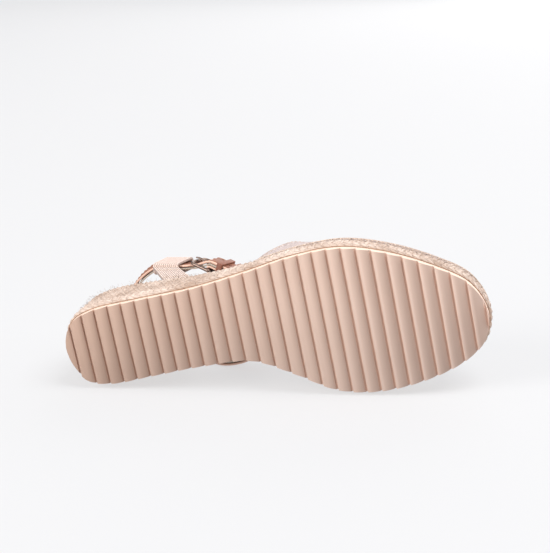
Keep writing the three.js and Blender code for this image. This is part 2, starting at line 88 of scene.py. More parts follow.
class Finish:
    """A material built from nodes round one Principled shader."""

    def __init__(self, name, **constants):
        self.material = bpy.data.materials.new(name)
        self.material.use_nodes = True
        self.tree = self.material.node_tree
        self.shader = self.tree.nodes["Principled BSDF"]
        for socket, value in constants.items():
            self.shader.inputs[socket.replace("_", " ")].default_value = value

    def node(self, kind, settings=None, sockets=None, out=0):
        made = self.tree.nodes.new(kind)
        for key, value in (settings or {}).items():
            if key == "stops":
                while len(made.color_ramp.elements) < len(value):
                    made.color_ramp.elements.new(0.5)
                for element, (position, colour) in zip(made.color_ramp.elements, value):
                    element.position, element.color = position, colour
            else:
                setattr(made, key, value)
        for key, value in (sockets or {}).items():
            if isinstance(value, Value):
                self.tree.links.new(value.socket, made.inputs[key])
            else:
                made.inputs[key].default_value = value
        return Value(self, made.outputs[out])

    def feed(self, **inputs):
        for socket, value in inputs.items():
            self.tree.links.new(value.socket, self.shader.inputs[socket.replace("_", " ")])

    def place(self):
        return self.node("ShaderNodeTexCoord", out="Object")

    def cloth_axes(self):
        split = self.node("ShaderNodeSeparateXYZ", sockets={0: self.node("ShaderNodeUVMap")})
        return split, Value(self, split.socket.node.outputs[1])

    def noise(self, where, scale, detail=3.0, roughness=0.5):
        sockets = {"Vector": where, "Scale": scale, "Detail": detail, "Roughness": roughness}
        return self.node("ShaderNodeTexNoise", sockets=sockets)

    def function(self, operation, value, other=0.0):
        return self.node("ShaderNodeMath", {"operation": operation}, {0: value, 1: other})

    def limited(self, value):
        """A value held between 0 and 1."""
        return self.function("MINIMUM", self.function("MAXIMUM", value, 0.0), 1.0)

    def colours(self, value, *stops):
        return self.node("ShaderNodeValToRGB", {"stops": stops}, {"Fac": value})

    def mix(self, factor, first, second):
        sockets = {0: factor, 6: first, 7: second}
        return self.node("ShaderNodeMix", {"data_type": "RGBA"}, sockets, out=2)

    def bump(self, height, depth, strength=1.0, over=None):
        sockets = {"Height": height, "Distance": depth, "Strength": strength}
        if over:
            sockets["Normal"] = over
        return self.node("ShaderNodeBump", sockets=sockets)


def shade(red, green, blue):
    """A colour given as display values from 0 to 255."""
    parts = [v / 255 for v in (red, green, blue)]
    return tuple(v / 12.92 if v < 0.0405 else ((v + 0.055) / 1.055) ** 2.4 for v in parts) + (1.0,)


def one_sided(name, colour, glow):
    finish = Finish(name, Roughness=0.9, Specular_IOR_Level=0.1)
    finish.shader.inputs["Emission Color"].default_value = (0.93, 0.93, 0.94, 1)
    finish.shader.inputs["Emission Strength"].default_value = glow
    tone = finish.noise(finish.place(), 3.0)
    pale = tuple(0.985 * v for v in colour[:3]) + (1.0,)
    finish.feed(Base_Color=finish.mix(tone, colour, pale))
    behind = finish.node("ShaderNodeNewGeometry", out="Backfacing")
    clear = finish.node("ShaderNodeBsdfTransparent")
    lit = Value(finish, finish.shader.outputs[0])
    both = finish.node("ShaderNodeMixShader", sockets={0: behind, 1: lit, 2: clear})
    finish.tree.links.new(both.socket, finish.tree.nodes["Material Output"].inputs["Surface"])
    return finish.material


def backdrop(name, size, centre, normal, material):
    bpy.ops.mesh.primitive_plane_add(size=size)
    board = bpy.context.object
    board.name = name
    turn = Vector(normal).to_track_quat("Z", "Y").to_matrix().to_4x4()
    board.data.transform(Matrix.Translation(centre) @ turn)
    board.location = (0, 0, 0)
    board.data.materials.append(material)
    board.visible_shadow = False
    board.visible_diffuse = False
    board.visible_glossy = False
    return board


backdrop_size, board_distance = 8, -0.0388
board_normal = Vector((0.0727, -0.9974, 0.0)).normalized()
pale_board = one_sided("pale_board", (0.22, 0.22, 0.222, 1), glow=0.64)
backdrop("board", backdrop_size, board_normal * board_distance, board_normal, pale_board)
pale_ground = one_sided("pale_ground", (0.26, 0.26, 0.263, 1), glow=0.6)
backdrop("ground", backdrop_size, (0, 0, 0), (0, 0, 1), pale_ground)

world = bpy.data.worlds.new("studio")
bpy.context.scene.world = world
world.use_nodes = True
world.node_tree.nodes["Background"].inputs[0].default_value = (0.93, 0.945, 1.0, 1)
world.node_tree.nodes["Background"].inputs[1].default_value = 0.5


def soft_light(name, place, aim, size, power, colour=(1, 1, 1)):
    data = bpy.data.lights.new(name, "AREA")
    data.energy, data.size, data.color = power, size, colour
    light = bpy.data.objects.new(name, data)
    bpy.context.collection.objects.link(light)
    light.location = place
    light.rotation_euler = (Vector(aim) - Vector(place)).to_track_quat("-Z", "Y").to_euler()


middle = (0, 0, 0.03)
soft_light("key", (-2.0, -1.3, -1.4), middle, size=1.4, power=62, colour=(1, 0.985, 0.965))
soft_light("side", (1.1, -2.0, -0.35), middle, size=1.5, power=40)
soft_light("top", (0.35, -0.55, 1.5), middle, size=1.4, power=10, colour=(1, 0.99, 0.97))
soft_light("behind", (-0.4, 1.6, 0.8), middle, size=1.5, power=12)
soft_light("toe_side", (1.6, -0.3, 0.5), middle, size=1.0, power=9)

# ---- Outsole ----
# One moulded crepe-rubber unit, 4.5 mm thick, with cross ribs that each run flat and then fall
# away to the next narrow groove. It is cemented under the jute, and its edge is a plain lip.
MM = 0.001
sole_length, ball_width = 250.0, 87.8
rib_angle = math.radians(5.8)
spring_start, spring_radius = 25.0, 520.0
heel_height, fore_height = 46.0, 20.0
slope_start, slope_end = -97.0, 12.0
outline_shape = [
    (0.001, 0.023), (0.02, -0.12), (0.068, -0.196), (0.18, -0.255), (0.32, -0.319),
    (0.448, -0.41), (0.556, -0.497), (0.668, -0.538), (0.772, -0.485), (0.88, -0.364),
    (0.958, -0.228), (0.994, -0.063), (0.9995, 0.046), (0.986, 0.177), (0.94, 0.296),
    (0.844, 0.408), (0.732, 0.462), (0.636, 0.433), (0.54, 0.308), (0.444, 0.205),
    (0.32, 0.228), (0.2, 0.28), (0.1, 0.321), (0.044, 0.294), (0.012, 0.171),
]


def smooth_line(points, closed, per_stretch):
    """Points on the centripetal curve through the given ones."""
    points = np.array(points, float)
    count, made = len(points), []
    for i in range(count if closed else count - 1):
        b, c = points[i], points[(i + 1) % count]
        a = points[i - 1] if closed or i else 2 * b - c
        d = points[(i + 2) % count] if closed or i + 2 < count else 2 * c - b
        ab, bc, cd = (np.linalg.norm(q - p) ** 0.5 for p, q in ((a, b), (b, c), (c, d)))
        leave = ((b - a) / ab - (c - a) / (ab + bc) + (c - b) / bc) * bc
        arrive = ((c - b) / bc - (d - b) / (bc + cd) + (d - c) / cd) * bc
        u = np.linspace(0, 1, per_stretch, endpoint=False)[:, None]
        cubic = (2 * b - 2 * c + leave + arrive) * u**3
        made.append(b + leave * u + (3 * c - 3 * b - 2 * leave - arrive) * u**2 + cubic)
    if not closed:
        made.append(points[-1:])
    return np.concatenate(made)


def run_along(line):
    """How far along a line each of its points lies."""
    return np.concatenate([[0], np.cumsum(np.linalg.norm(np.diff(line, axis=0), axis=1))])


def unit(vectors):
    return vectors / np.linalg.norm(vectors, axis=-1, keepdims=True)


def evenly(points, count, closed):
    """The same line with its points evenly spaced."""
    line = np.vstack([points, points[:1]]) if closed else points
    run = run_along(line)
    at = np.linspace(0, run[-1], count, endpoint=not closed)
    return np.stack([np.interp(at, run, line[:, k]) for k in range(line.shape[1])], 1)


def headings(points, closed):
    if closed:
        return unit(np.roll(points, -1, 0) - np.roll(points, 1, 0))
    return unit(np.gradient(points, axis=0))


outline_points = [((u - 0.5) * sole_length, v * ball_width) for u, v in outline_shape]
sole_outline = smooth_line(outline_points, True, 60)


def outline(inset, count=480):
    """The sole's outline moved inwards, and its outward direction at each point."""
    line = evenly(sole_outline, count, True)
    heading = headings(line, True)
    outward = np.stack([heading[:, 1], -heading[:, 0]], 1)
    return line - outward * inset, outward


def along(x, y):
    return x * math.cos(rib_angle) - y * math.sin(rib_angle)


def on_plan(s, t, z):
    """The point at s along the foot and t across it, both measured square to the ribs."""
    x = s * math.cos(rib_angle) + t * math.sin(rib_angle)
    y = t * math.cos(rib_angle) - s * math.sin(rib_angle)
    return np.stack(np.broadcast_arrays(x, y, z), -1)


plans = {}


def plan(inset):
    if inset not in plans:
        line, _ = outline(inset)
        s = along(line[:, 0], line[:, 1])
        plans[inset] = (s, line[:, 0] * math.sin(rib_angle) + line[:, 1] * math.cos(rib_angle))
    return plans[inset]


def sole_edges(inset, stations):
    """How far across the foot the outline lies on its outer and inner side, at each station."""
    s0, t0 = plan(inset)
    s1, t1 = np.roll(s0, -1), np.roll(t0, -1)
    wanted = np.asarray(stations, float).reshape(-1, 1)
    hit = ((s0 - wanted) * (s1 - wanted) <= 0) & (s0 != s1)
    with np.errstate(divide="ignore", invalid="ignore"):
        t = np.where(hit, t0 + (wanted - s0) / (s1 - s0) * (t1 - t0), np.nan)
    return (f(t, axis=1).reshape(np.shape(stations)) for f in (np.nanmin, np.nanmax))


def spring(s):
    ahead = np.maximum(s - spring_start, 0)
    return spring_radius - np.sqrt(spring_radius**2 - ahead**2)


def wedge_top(s):
    u = np.clip((s - slope_start) / (slope_end - slope_start), 0, 1)
    return spring(s) + heel_height + (fore_height - heel_height) * u * u * (3 - 2 * u)


def new_piece(name, points, faces, corner_uv=None):
    """A mesh piece from points in millimetres."""
    mesh = bpy.data.meshes.new(name)
    mesh.from_pydata((np.asarray(points) * MM).tolist(), [], faces)
    if corner_uv is not None:
        mesh.uv_layers.new(name="UVMap").data.foreach_set("uv", np.ravel(corner_uv))
    piece = bpy.data.objects.new(name, mesh)
    bpy.context.collection.objects.link(piece)
    return piece


def pick(piece):
    bpy.ops.object.select_all(action="DESELECT")
    piece.select_set(True)
    bpy.context.view_layer.objects.active = piece


def apply_modifier(piece, kind, **settings):
    pick(piece)
    modifier = piece.modifiers.new(kind.lower(), kind)
    for key, value in settings.items():
        setattr(modifier, key, value)
    bpy.ops.object.modifier_apply(modifier=modifier.name)


def round_edges(piece, width, segments, above):
    """Rounds the edges that turn by more than an angle, given in degrees."""
    limit = math.radians(above)
    apply_modifier(
        piece, "BEVEL", width=width, segments=segments, limit_method="ANGLE", angle_limit=limit
    )


def weld(piece, within, flat_within=None):
    """Merges points that nearly meet, and neighbouring faces that are flat to an angle."""
    mesh = bmesh.new()
    mesh.from_mesh(piece.data)
    bmesh.ops.remove_doubles(mesh, verts=mesh.verts, dist=within)
    if flat_within:
        limit = math.radians(flat_within)
        bmesh.ops.dissolve_limit(mesh, angle_limit=limit, verts=mesh.verts, edges=mesh.edges)
    mesh.to_mesh(piece.data)
    mesh.free()


def complete(piece, material, slot, body, *nodes, crease=35, outward=True):
    """Turns the faces out, smooths them, gives the piece its finish and body, and hides the given CAD nodes.
    """
    if outward:
        mesh = bmesh.new()
        mesh.from_mesh(piece.data)
        bmesh.ops.recalc_face_normals(mesh, faces=mesh.faces)
        mesh.to_mesh(piece.data)
        mesh.free()
    pick(piece)
    bpy.ops.object.shade_smooth_by_angle(angle=math.radians(crease))
    piece.data.materials.clear()
    piece.data.materials.append(material)
    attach(piece, body)
    if nodes:
        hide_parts(*nodes)
    return piece


def copy_of(node, name, flat_within=0.4):
    """A merged copy of a CAD node, with its flat faces joined up again."""
    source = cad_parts[node].data
    faces = [list(p.vertices) for p in source.polygons]
    piece = new_piece(name, [v.co / MM for v in source.vertices], faces)
    weld(piece, 0.00001, flat_within)
    return piece


def rubber_finish():
    finish = Finish("crepe_rubber", Specular_IOR_Level=0.28)
    where = finish.place()
    cloud = finish.noise(where, 28.0, 4.0)
    grain = finish.noise(where, 1400.0, 2.0)
    split = finish.node("ShaderNodeSeparateXYZ", sockets={0: where})
    # Painted light: the tread is coloured darker at the heel and paler at the toe, standing in for light
    # falling more on the toe.
    toe_painted_light = finish.limited(split * 4.0 + 0.5)
    heel = finish.mix(cloud, shade(197, 164, 144), shade(207, 175, 156))
    toe = finish.mix(cloud, shade(240, 210, 192), shade(247, 219, 202))
    tread = finish.mix(toe_painted_light, heel, toe)
    facing = finish.node("ShaderNodeNewGeometry", out="Normal")
    toward = finish.node("ShaderNodeSeparateXYZ", sockets={0: facing})
    sideways, down = (Value(finish, toward.socket.node.outputs[k]) for k in (1, 2))
    # Painted light: the outsole's edge is coloured paler where it faces sideways, as if lit.
    side_wall_painted_light = finish.limited(finish.function("ABSOLUTE", sideways) * 4.0 - 1.8)
    from_below = finish.function("MAXIMUM", down * -1.0, 0.0)
    # Painted shade: the side of each rib that falls away towards the next groove is coloured darker.
    falling = finish.function("MAXIMUM", toward - 0.06, 0.0) * from_below
    painted_rib_shade = finish.function("MINIMUM", falling * 1.5, 0.45)
    tread = finish.mix(painted_rib_shade, tread, shade(150, 119, 103))
    finish.feed(
        Base_Color=finish.mix(side_wall_painted_light * 0.75, tread, shade(243, 218, 199)),
        Roughness=0.62 + cloud * 0.2,
        Normal=finish.bump(grain, 0.00012, 0.5, finish.bump(cloud, 0.0006, 0.35)),
    )
    return finish.material


rubber = rubber_finish()
outsole = copy_of("outsole", "rubber_outsole")
round_edges(outsole, width=0.00028, segments=2, above=28)
complete(outsole, rubber, "rubber_outsole", "shoe", "outsole", crease=30, outward=False)

# ---- Jute wall ----
# Three-strand plaits of jute laid round the wedge: a thick one sewn to the outsole all round, and
# finer ones above it that run out where the wedge gets lower. They are stitched through the core.
def surface(rows, uv, along_closes=False, across_closes=False, capped=False):
    """Quads over rows of points, with the uv of each corner."""
    rows, uv = np.asarray(rows, float), np.asarray(uv, float)
    count, across = rows.shape[:2]
    i, j = np.meshgrid(
        np.arange(count - (not along_closes)), np.arange(across - (not across_closes)), indexing="ij"
    )
    i, j = i.ravel(), j.ravel()
    i2, j2 = (i + 1) % count, (j + 1) % across
    faces = np.stack([i * across + j, i * across + j2, i2 * across + j2, i2 * across + j], 1).tolist()
    corners = np.stack([uv[i, j], uv[i, j + 1], uv[i + 1, j + 1], uv[i + 1, j]], 1).reshape(-1, 2).tolist()
    if capped:
        first = list(range(across))
        faces += [first[::-1], [(count - 1) * across + k for k in first]]
        corners += [list(uv[0, k]) for k in first[::-1]] + [list(uv[-1, k]) for k in first]
    return rows.reshape(-1, 3), faces, corners


def between(first, second, uv):
    """The strip of faces between two matching lines."""
    return surface(np.stack([first, second]), np.stack([uv, uv]))


def piece_from(name, surfaces):
    """One mesh piece from several surfaces."""
    points, faces, corners, start = [], [], [], 0
    for rows, quads, uv in surfaces:
        points.append(rows)
        faces += [[v + start for v in face] for face in quads]
        corners += uv
        start += len(rows)
    return new_piece(name, np.concatenate(points), faces, corners)


def tube(line, outward, deep, high, sides=8, closed=False):
    """An oval tube round a line: deep is half its depth outward, high half its height."""
    line = np.asarray(line, float)
    heading = headings(line, closed)
    out = unit(outward - heading * np.sum(outward * heading, 1)[:, None])
    up = np.cross(heading, out)
    turn = np.arange(sides) * 2 * math.pi / sides
    deep, high = (np.broadcast_to(v, len(line))[:, None, None] for v in (deep, high))
    rows = (
        line[:, None]
        + out[:, None] * np.cos(turn)[None, :, None] * deep
        + up[:, None] * np.sin(turn)[None, :, None] * high
    )
    step = np.linalg.norm(np.roll(line, -1, 0) - line, axis=1)
    run = np.concatenate([[0], np.cumsum(step)])[: len(line) + closed] * MM
    around = np.arange(sides + 1) / sides
    uv = np.stack(np.broadcast_arrays(around[None, :], run[:, None]), -1)
    return surface(rows, uv, closed, True, not closed)


least_all_round, least_anywhere = 0.25, 0.12


def plait(name, proud, base, height, pitch, deep, high, swing, samples, node):
    """Three strands that pass over and under each other, round the sole or as far as it is high."""
    turns = round(run_along(np.vstack([sole_outline, sole_outline[:1]]))[-1] / pitch)
    line, outward = outline(0, turns * samples)
    s = along(line[:, 0], line[:, 1])
    room = np.clip(wedge_top(s) - spring(s) - base, 0, height) / height
    kept = np.arange(len(line))
    closed = bool(room.min() > least_all_round)
    if not closed:
        tall = room > least_anywhere
        first = int(np.argmax(tall & ~np.roll(tall, 1)))
        kept = np.array([k % len(line) for k in range(first, first + int(tall.sum()))])
    line, outward, s, room = line[kept], outward[kept], s[kept], room[kept]
    phase = kept * 2 * math.pi / samples
    weave = height / 2 - high + 0.15
    strands = []
    for k in range(3):
        turn = phase + k * 2 * math.pi / 3
        depth = proud - deep - swing + swing * np.sin(2 * turn)
        flat = line + outward * depth[:, None]
        z = spring(s) + base + room * (height / 2 + weave * np.sin(turn))
        points = np.column_stack([flat, z])
        out3 = np.column_stack([outward, np.zeros(len(line))])
        thick = np.maximum(room, 0.3)
        strands.append(tube(points, out3, deep * (0.6 + 0.4 * thick), high * thick, 8, closed))
    piece = piece_from(name, strands)
    return complete(piece, jute, "jute", "shoe", node, crease=70)


def jute_finish(name, light, dark, yarn_pitch):
    """Twisted jute: yarns wind round the strand, each with fine fibres along it."""
    finish = Finish(name, Specular_IOR_Level=0.15, Sheen_Weight=0.25, Sheen_Roughness=0.6)
    around, run = finish.cloth_axes()
    wind = around * 5.0 + run / yarn_pitch
    groove = finish.function("ABSOLUTE", finish.function("FRACT", wind) - 0.5) * 2
    yarn = 1 - finish.function("POWER", groove, 3.0)
    stretched = finish.node("ShaderNodeCombineXYZ", sockets={0: wind * 9.0, 1: run * 160.0, 2: around * 2.0})
    fibre = finish.noise(stretched, 1.0, 4.0, 0.65)
    patch = finish.noise(finish.place(), 60.0, 3.0)
    straw = finish.colours(
        fibre * 0.55 + patch * 0.45, (0.36, dark), (0.52, light), (0.66, shade(242, 224, 210))
    )
    # Painted shade: the grooves between the yarns are coloured darker.
    finish.feed(
        Base_Color=finish.mix((1 - yarn) * 0.5, straw, shade(170, 134, 112)),
        Roughness=0.8 + fibre * 0.15,
        Normal=finish.bump(yarn * 0.7 + fibre * 0.5, 0.0006, 0.9),
    )
    return finish.material


jute = jute_finish("jute_braid", shade(219, 197, 181), shade(174, 144, 123), yarn_pitch=0.0085)
outsole_thickness, seam = 4.5, 0.3
foxing_height, row_height = 11.5, 7.2
foxing_base = outsole_thickness + seam
plait(
    "jute_foxing_plait", proud=1.7, base=foxing_base, height=foxing_height, pitch=13.0,
    deep=1.95, high=2.5, swing=1.1, samples=18, node="jute_foxing",
)

# A thin dark bead lies along the joint where the plait meets the outsole: painted shade in the crease
# between them.
joint_shade = Finish("painted_joint_shade", Specular_IOR_Level=0.2)
joint_shade_patch = joint_shade.noise(joint_shade.place(), 300.0)
joint_shade.feed(
    Base_Color=joint_shade.mix(joint_shade_patch, shade(122, 88, 66), shade(200, 164, 138)),
    Roughness=0.7 + joint_shade_patch * 0.2,
)
joint_shade_line, joint_shade_outward = outline(-0.2, 720)
joint_shade_level = spring(along(joint_shade_line[:, 0], joint_shade_line[:, 1])) + outsole_thickness + seam / 2
joint_shade_bead = tube(
    np.column_stack([joint_shade_line, joint_shade_level]),
    np.column_stack([joint_shade_outward, np.zeros(len(joint_shade_line))]), 0.32, 0.2, closed=True,
)
complete(piece_from("joint_shade_bead", [joint_shade_bead]), joint_shade.material, "rubber_outsole", "shoe", crease=80)
row_base = foxing_base + foxing_height + seam
for row in range(4):
    name = f"jute_row_{row + 2}"
    base = row_base + row * (row_height + seam)
    plait(
        name + "_plait", proud=0.9 - 0.5 * row, base=base, height=row_height, pitch=9.2,
        deep=1.35, high=1.65, swing=0.8, samples=14, node=name,
    )

# The core under the plaits is dense foam faced with jute cloth.
core_finish = Finish("jute_faced_core", Specular_IOR_Level=0.15, Roughness=0.95)
core_patch = core_finish.noise(core_finish.place(), 900.0, 3.0)
core_finish.feed(
    Base_Color=core_finish.mix(core_patch, shade(196, 164, 142), shade(226, 200, 182)),
    Normal=core_finish.bump(core_patch, 0.0004, 0.8),
)


def refinish(node, material):
    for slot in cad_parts[node].material_slots:
        slot.material = material


refinish("wedge_core", core_finish.material)

# Loose fibres stand off the plaits, as they do on real jute.
chance = np.random.default_rng(7)


def loose_fibres(name, count, proud, low, high):
    line, outward = outline(0, 2400)
    hairs = []
    while len(hairs) < count:
        k = int(chance.integers(len(line)))
        s = along(*line[k])
        z = spring(s) + chance.uniform(low, high)
        if z > wedge_top(s) - 1:
            continue
        out = np.append(outward[k], 0)
        heading = np.array([-outward[k][1], outward[k][0], 0])
        lean = heading * chance.uniform(-1, 1) + np.array([0, 0, chance.uniform(-0.7, 0.7)])
        start = np.append(line[k], z) + out * (proud - 1.2)
        reach = chance.uniform(1.0, 2.2)
        middle_point = start + out * 1.2 + lean * reach * 0.5
        end = start + out * chance.uniform(0.9, 1.7) + lean * reach
        side = np.tile(np.array([0.0, 0.0, 1.0]), (3, 1)) + heading * 0.3
        thin = chance.uniform(0.05, 0.09)
        hairs.append(tube([start, middle_point, end], side, thin, thin, 3))
    complete(piece_from(name, hairs), jute, "jute", "shoe", crease=80)


loose_fibres("jute_fibres", 1300, proud=1.2, low=6.0, high=44.0)

# ---- Footbed ----
# A fibre board carries a thin foam pad, and a leather sock is turned down over the pad's edge and
# stitched a few millimetres in from it.
board_finish = Finish("fibre_board", Specular_IOR_Level=0.2, Roughness=0.85)
board_fibre = board_finish.noise(board_finish.place(), 700.0, 4.0, 0.7)
board_finish.feed(
    Base_Color=board_finish.mix(board_fibre, shade(120, 98, 80), shade(168, 143, 120)),
    Normal=board_finish.bump(board_fibre, 0.0003, 0.6),
)
refinish("insole_board", board_finish.material)


def leather_finish(name, light, dark, edge=None, half_width=None):
    """Smooth-grain leather with fine creases; its cut edges are paler where half_width is given."""
    finish = Finish(name, Specular_IOR_Level=0.45, Coat_Roughness=0.35)
    where = finish.place()
    pores = finish.node(
        "ShaderNodeTexVoronoi", {"feature": "DISTANCE_TO_EDGE"}, {"Vector": where, "Scale": 1100.0}
    )
    grain = finish.function("MINIMUM", pores * 6.0, 1.0)
    cloud = finish.noise(where, 55.0, 4.0, 0.6)
    crease = finish.noise(where, 260.0, 3.0, 0.6)
    hide = finish.colours(cloud * 0.7 + crease * 0.3, (0.32, dark), (0.66, light))
    if edge:
        side, _ = finish.cloth_axes()
        cut = (finish.function("ABSOLUTE", side) - (half_width - 0.75) * MM) * (1 / (0.35 * MM))
        worn = finish.limited(cut + (crease - 0.5) * 0.8)
        hide = finish.mix(worn, hide, edge)
    finish.feed(
        Base_Color=hide,
        Roughness=0.42 + cloud * 0.25,
        Coat_Weight=0.18 - crease * 0.12,
        Normal=finish.bump(grain, 0.00012, 0.55, finish.bump(crease, 0.0005, 0.35)),
    )
    return finish.material


insole_inset = 6.0
board_top, foam_thickness, sock_thickness = 2.0, 2.8, 0.9
foam_base = board_top + seam
sock_top = foam_base + foam_thickness + seam + sock_thickness


def footbed_sheet(inset, height, corner, skirt, stations=190, across=44):
    """Rows of points over the footbed: the edge rolls down, and its last row hangs as a skirt."""
    s0, _ = plan(inset)
    ends = 0.5 - 0.5 * np.cos(np.linspace(0, math.pi, stations))
    s = s0.min() + 0.02 + (np.ptp(s0) - 0.04) * ends
    outer, inner = sole_edges(inset, s)
    share = 0.5 - 0.5 * np.cos(np.linspace(0, math.pi, across))
    t = outer[:, None] + (inner - outer)[:, None] * share
    s = np.repeat(s[:, None], across, 1)
    top = on_plan(s, t, wedge_top(s) + height)
    line, _ = outline(inset, 1400)
    flat = top[..., :2].reshape(-1, 2)
    off = np.array([np.min(np.hypot(*(line - p).T)) for p in flat]).reshape(s.shape)
    near = np.clip(off / corner, 0, 1)
    top[..., 2] -= corner * (1 - np.sqrt(1 - (1 - near) ** 2))
    hem = np.ones(s.shape, bool)
    hem[1:-1, 1:-1] = False
    top[..., 2] -= np.where(hem, skirt, 0)
    return top


def sheet_area(rows):
    """The area of the faces between rows of points, in square metres."""
    a = np.linalg.norm(np.cross(rows[1:, :-1] - rows[:-1, :-1], rows[:-1, 1:] - rows[:-1, :-1]), axis=2)
    b = np.linalg.norm(np.cross(rows[1:, :-1] - rows[1:, 1:], rows[:-1, 1:] - rows[1:, 1:]), axis=2)
    return float((a + b).sum() / 2) * MM * MM


sock_leather = leather_finish("sock_leather", shade(196, 150, 116), shade(160, 112, 80))
sock_rows = footbed_sheet(insole_inset - 0.5, sock_top, corner=1.3, skirt=2.2)
sock_uv = sock_rows[..., :2] * MM
sock = piece_from("sock_lining_leather", [surface(sock_rows, sock_uv)])
apply_modifier(sock, "SOLIDIFY", thickness=0.00045, offset=-1)
complete(sock, sock_leather, "sock_leather", "shoe", "sock_lining", crease=60)

foam_finish = Finish("latex_foam", Specular_IOR_Level=0.2, Roughness=0.95)
foam_cells = foam_finish.node(
    "ShaderNodeTexVoronoi", {}, {"Vector": foam_finish.place(), "Scale": 1500.0}
)
foam_finish.feed(
    Base_Color=foam_finish.mix(foam_cells, shade(226, 212, 190), shade(240, 230, 212)),
    Normal=foam_finish.bump(foam_cells, 0.0003, 0.7),
)
foam = copy_of("footbed_foam", "footbed_foam_pad")
round_edges(foam, width=0.0005, segments=2, above=40)
complete(foam, foam_finish.material, "footbed_foam", "shoe", "footbed_foam", outward=False)


def stitch_run(places, heading, out, length, thread):
    """Short bowed threads, one at each place."""
    made = []
    for p, h, o in zip(places, heading, out):
        k = np.array([-1.0, -0.75, -0.3, 0.3, 0.75, 1.0])
        line = p + np.outer(k, h) * length / 2 + np.outer(0.9 - k**4 * 1.4, o) * thread
        thick = thread * (1 - 0.5 * k**6)
        made.append(tube(line, np.tile(o, (len(k), 1)), thick, thick, 6))
    return made


def thread_finish(name, light, dark):
    finish = Finish(name, Specular_IOR_Level=0.3, Sheen_Weight=0.2)
    around, run = finish.cloth_axes()
    ply = finish.function("ABSOLUTE", finish.function("FRACT", around * 3.0 + run * 900.0) - 0.5) * 2
    # Painted shade: the grooves between the plies are coloured darker.
    finish.feed(
        Base_Color=finish.mix(ply, light, dark),
        Roughness=0.6 + ply * 0.2,
        Normal=finish.bump(1 - ply, 0.0001, 0.7),
    )
    return finish.material


sock_thread = thread_finish("sock_thread", shade(228, 196, 160), shade(176, 136, 100))
stitch_line, stitch_out = outline(insole_inset + 3.2, 150)
stitch_s = along(stitch_line[:, 0], stitch_line[:, 1])
stitch_climb = np.gradient(wedge_top(stitch_s)) / 4
stitch_heading = unit(np.column_stack([-stitch_out[:, 1], stitch_out[:, 0], stitch_climb]))
stitch_points = np.column_stack([stitch_line, wedge_top(stitch_s) + sock_top + 0.02])
up_one = np.tile([0.0, 0.0, 1.0], (len(stitch_line), 1))
sock_seam = stitch_run(stitch_points, stitch_heading, up_one, length=2.9, thread=0.22)
sock_stitches = piece_from("sock_stitching", sock_seam)
complete(sock_stitches, sock_thread, "sock_leather", "shoe", crease=70)

# ---- Vamp ----
# Coarse cotton canvas lasted over a thin toe puff, with a cotton lining inside. Its lower edge is
# sewn to the jute with a blanket stitch, and its throat is bound with a folded tape.
vamp_inset, vamp_thickness, lining_depth, lining_thickness = 0.8, 1.3, 3.1, 0.8
wall_height, toe_height, toe_run = 7.0, 22.0, 28.0
throat_height, throat_centre, throat_power, wing_start = 47.0, 44.0, 1.1, -8.0
wall_angle = math.pi / 26
side_lean, lean_start, lean_end = 0.32, 10.0, 40.0
rim_depth = lining_depth + lining_thickness


def vamp_point(angle, s, depth):
    """A point of the vamp: angle runs from the outer edge over to the inner, depth inwards."""
    inset = round(vamp_inset + depth, 4)
    end = plan(inset)[0].max()
    station = np.minimum(s, end - 0.0001)
    outer, inner = sole_edges(inset, station)
    turn = np.clip((angle - wall_angle) * math.pi / (math.pi - 2 * wall_angle), 0, math.pi)
    over = np.cos(turn)
    wall = wall_height * np.minimum(1, np.minimum(angle, math.pi - angle) / wall_angle)
    to_toe = end - station
    nose = np.sqrt(1 - np.maximum(1 - to_toe / toe_run, 0) ** 2)
    climb = (throat_height - toe_height) / (plan(0)[0].max() - throat_centre)
    arch = ((toe_height - wall_height - depth) * nose + climb * to_toe) * np.abs(np.sin(turn)) ** 0.75
    u = np.clip((station - lean_start) / (lean_end - lean_start), 0, 1)
    lean = side_lean * u * u * (3 - 2 * u) * arch * np.abs(over)
    reach = (inner - outer) / 2 * np.abs(over) ** 0.9 - lean
    t = (outer + inner) / 2 - np.sign(over) * reach
    return on_plan(station, t, wedge_top(station) + seam + wall + arch)


def throat_at(angle):
    return wing_start + (throat_centre - wing_start) * np.abs(np.sin(angle)) ** throat_power


def vamp_skin(depth, angles, steps):
    inset = round(vamp_inset + depth, 4)
    end = plan(inset)[0].max() - 0.0001
    u = 1 - (1 - np.linspace(0, 1, steps)) ** 1.5
    start = throat_at(angles)
    return vamp_point(angles[None, :] + 0 * u[:, None], start + (end - start) * u[:, None], depth)


def cloth_uv(rows):
    """Lengths across and along the cloth, in metres."""
    middle = rows.shape[1] // 2
    over = np.linalg.norm(np.diff(rows, axis=1), axis=2)
    across = np.concatenate([np.zeros((len(rows), 1)), np.cumsum(over, 1)], 1)
    across -= across[:, middle : middle + 1]
    run = run_along(rows[:, middle])[:, None]
    return np.stack(np.broadcast_arrays(across, run), -1) * MM


